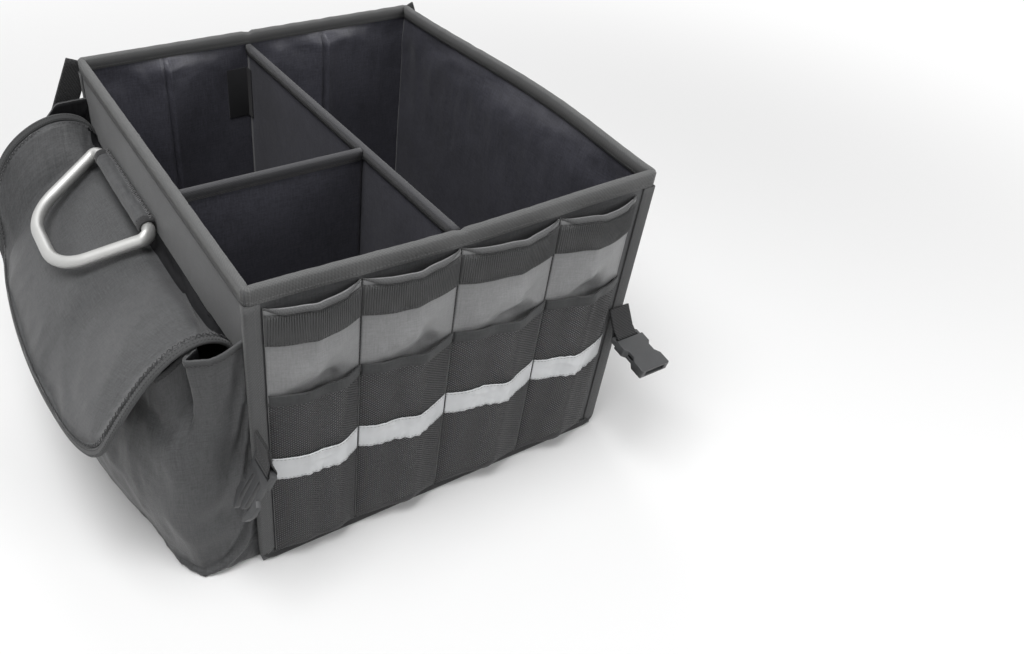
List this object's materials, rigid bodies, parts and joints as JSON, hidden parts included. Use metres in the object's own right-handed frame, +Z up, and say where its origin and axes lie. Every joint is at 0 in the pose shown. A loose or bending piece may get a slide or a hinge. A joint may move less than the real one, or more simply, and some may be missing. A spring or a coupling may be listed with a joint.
{
  "type": "car trunk organizer",
  "caption": "Collapsible fabric box organizer with boarded walls, removable dividers, front cloth and mesh pockets, a flapped side pocket, D handles, webbing tabs and a side release buckle",
  "frame": {"origin": "middle of the underside of the base of the box, on the surface it stands on", "axes": "X along the front from left to right, Y from the front to the back, Z up"},
  "size_m": [0.5905, 0.5345, 0.325],
  "materials": {
    "outer_cloth": "coated charcoal polyester cloth with a soft sheen",
    "inner_cloth": "coated dark navy cloth over board",
    "binding": "grey twill binding tape, sewn",
    "loop_tape": "ribbed dark grey hook and loop tape",
    "pocket_cloth": "smooth grey cloth with a sheen",
    "mesh": "dark knitted mesh",
    "reflective": "silver grey reflective tape",
    "webbing": "dark woven webbing",
    "buckle": "moulded dark grey plastic",
    "handle": "satin silver tube"
  },
  "bodies": {
    "organizer": {"base_panel": "outer_cloth", "base_board": "inner_cloth", "front_wall": "outer_cloth", "back_wall": "outer_cloth", "left_wall": "outer_cloth", "right_wall": "outer_cloth", "rim_binding": "binding", "corner_binding_front_left": "binding", "corner_binding_front_right": "binding", "corner_binding_back_left": "binding", "corner_binding_back_right": "binding", "bottom_binding": "binding", "long_divider": "inner_cloth", "long_divider_tape": "binding", "cross_divider": "inner_cloth", "cross_divider_tape": "binding", "divider_tab_back": "loop_tape", "divider_tab_front": "loop_tape", "divider_tab_left": "loop_tape", "divider_tab_middle": "loop_tape", "fabric_pocket_1": "pocket_cloth", "fabric_pocket_2": "pocket_cloth", "fabric_pocket_3": "pocket_cloth", "fabric_pocket_4": "pocket_cloth", "loop_strip_1": "loop_tape", "loop_strip_2": "loop_tape", "loop_strip_3": "loop_tape", "loop_strip_4": "loop_tape", "mesh_pocket_1": "mesh", "mesh_pocket_2": "mesh", "mesh_pocket_3": "mesh", "mesh_pocket_4": "mesh", "mesh_hem_1": "binding", "mesh_hem_2": "binding", "mesh_hem_3": "binding", "mesh_hem_4": "binding", "reflective_band_1": "reflective", "reflective_band_2": "reflective", "reflective_band_3": "reflective", "reflective_band_4": "reflective", "side_pocket": "outer_cloth", "pocket_flap": "outer_cloth", "flap_binding": "binding", "handle_sleeve_left": "outer_cloth", "handle_sleeve_right": "outer_cloth", "plug_tab": "webbing", "socket_tab": "webbing", "rear_tab_left": "webbing", "rear_tab_right": "webbing"},
    "left_handle": {"handle_left": "handle"},
    "right_handle": {"handle_right": "handle"},
    "plug": {"buckle_plug": "buckle"},
    "socket": {"buckle_socket": "buckle"}
  },
  "joints": [
    {"name": "left_handle_swing", "type": "hinge", "parent": "organizer", "child": "left_handle", "pos_m": [-0.20895, 0.07, 0.2502], "axis": [0, 1, 0], "range_deg": [0, 114]},
    {"name": "right_handle_swing", "type": "hinge", "parent": "organizer", "child": "right_handle", "pos_m": [0.20895, 0.07, 0.2502], "axis": [0, -1, 0], "range_deg": [0, 167]},
    {"name": "plug_swing", "type": "hinge", "parent": "organizer", "child": "plug", "pos_m": [-0.1987, -0.243, 0.156], "axis": [0, 1, 0], "range_deg": [-20, 40]},
    {"name": "socket_swing", "type": "hinge", "parent": "organizer", "child": "socket", "pos_m": [0.194, -0.243, 0.146], "axis": [1, 0, 0], "range_deg": [-19, 76]}
  ]
}
